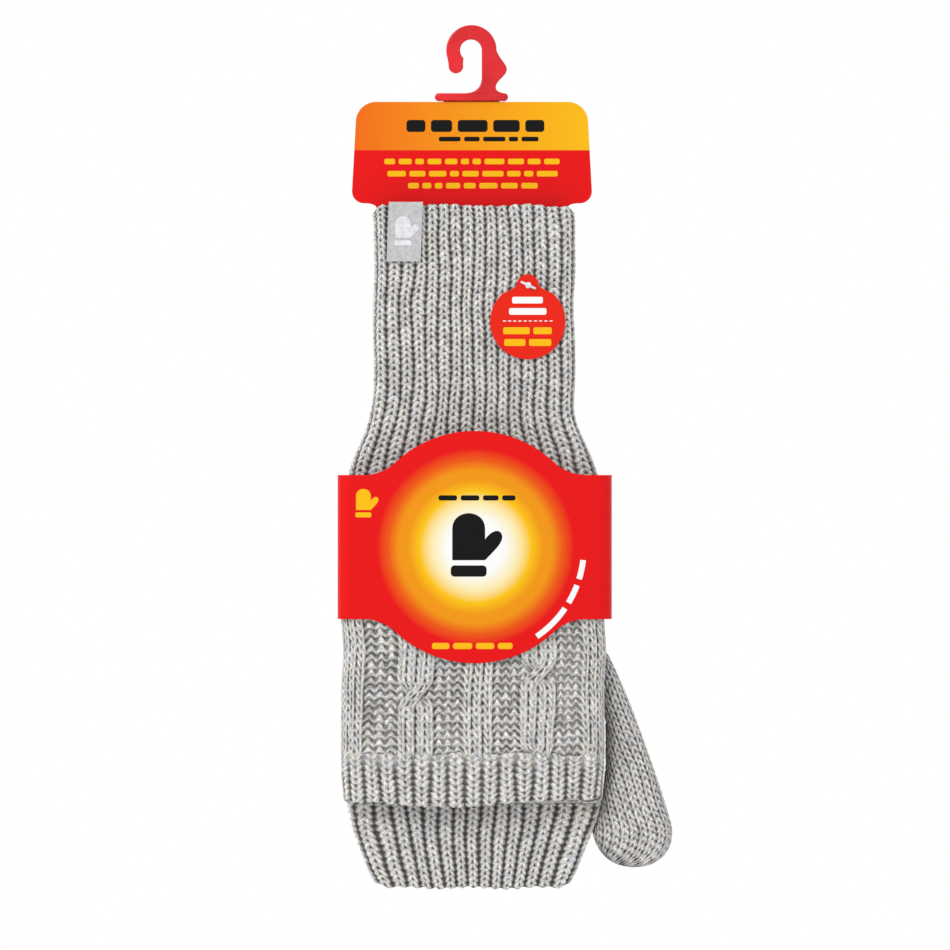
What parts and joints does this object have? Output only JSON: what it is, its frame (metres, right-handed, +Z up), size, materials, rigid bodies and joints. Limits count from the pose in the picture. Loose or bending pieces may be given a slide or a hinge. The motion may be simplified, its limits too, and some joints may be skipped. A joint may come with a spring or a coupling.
{
  "type": "convertible flip-top mittens",
  "caption": "Knitted fingerless mittens with flip-top caps folded back, thumbs, ribbed cuffs and plush lining, packed flat as a pair on a hanging header card with a card band.",
  "frame": {"origin": "top of the hook's throat, where a display prong carries the pack, midway through the pack's depth", "axes": "+Z up along the mittens towards the hook, -Y the front with the back of the right hand and the tag, +X the side of the thumbs"},
  "size_m": [0.1309, 0.0436, 0.3386],
  "materials": {
    "knit": "light grey marl yarn, knitted",
    "plush": "brushed plush pile",
    "hook": "moulded red",
    "card": "printed coated card",
    "tag_paper": "printed coated card",
    "label": "woven satin",
    "button": "moulded, horn look",
    "elastic": "braided elastic",
    "pin": "clear white nylon"
  },
  "bodies": {
    "pair_on_card": {"hanging_hook": "hook", "header_card": "card", "tag_pin": "pin", "right_cuff": "knit", "right_hand_shell": "knit", "right_finger_rib": "knit", "right_hand_lining": "plush", "right_flap_button": "button", "right_woven_label": "label", "left_cuff": "knit", "left_hand_shell": "knit", "left_finger_rib": "knit", "left_hand_lining": "plush", "left_flap_button": "button", "left_woven_label": "label"},
    "right_flap": {"right_flap_shell": "knit", "right_flap_hem": "knit", "right_flap_lining": "plush", "right_flap_loop": "elastic"},
    "left_flap": {"left_flap_shell": "knit", "left_flap_hem": "knit", "left_flap_lining": "plush", "left_flap_loop": "elastic"},
    "right_thumb": {"right_thumb_shell": "knit", "right_thumb_lining": "plush"},
    "left_thumb": {"left_thumb_shell": "knit", "left_thumb_lining": "plush"},
    "belly_band": {"belly_band": "card"},
    "swing_tag": {"swing_tag": "tag_paper"}
  },
  "joints": [
    {"name": "right_flap_hinge", "type": "hinge", "parent": "pair_on_card", "child": "right_flap", "pos_m": [0.0008, -0.01065, -0.2995], "axis": [1, 0, 0], "range_deg": [0, 180], "deforming": ["right_finger_rib", "belly_band"]},
    {"name": "left_flap_hinge", "type": "hinge", "parent": "pair_on_card", "child": "left_flap", "pos_m": [0.0008, 0.01065, -0.2995], "axis": [-1, 0, 0], "range_deg": [0, 180], "deforming": ["left_finger_rib"]},
    {"name": "right_thumb_splay", "type": "hinge", "parent": "pair_on_card", "child": "right_thumb", "pos_m": [0.0533, -0.0054, -0.238], "axis": [0, -1, 0], "range_deg": [0, 8]},
    {"name": "left_thumb_splay", "type": "hinge", "parent": "pair_on_card", "child": "left_thumb", "pos_m": [0.0533, 0.0054, -0.238], "axis": [0, -1, 0], "range_deg": [0, 8]},
    {"name": "band_slide", "type": "slide", "parent": "pair_on_card", "child": "belly_band", "axis": [0, 0, 1], "range_m": [0, 0.09]},
    {"name": "tag_swing", "type": "hinge", "parent": "pair_on_card", "child": "swing_tag", "pos_m": [0.0222, -0.0106, -0.0969], "axis": [0, 1, 0], "range_deg": [-80, 80]}
  ],
  "couplings": [
    {"joint": "right_thumb_splay", "follows": "right_flap_hinge", "ratio": 0.044},
    {"joint": "left_thumb_splay", "follows": "left_flap_hinge", "ratio": 0.044}
  ]
}
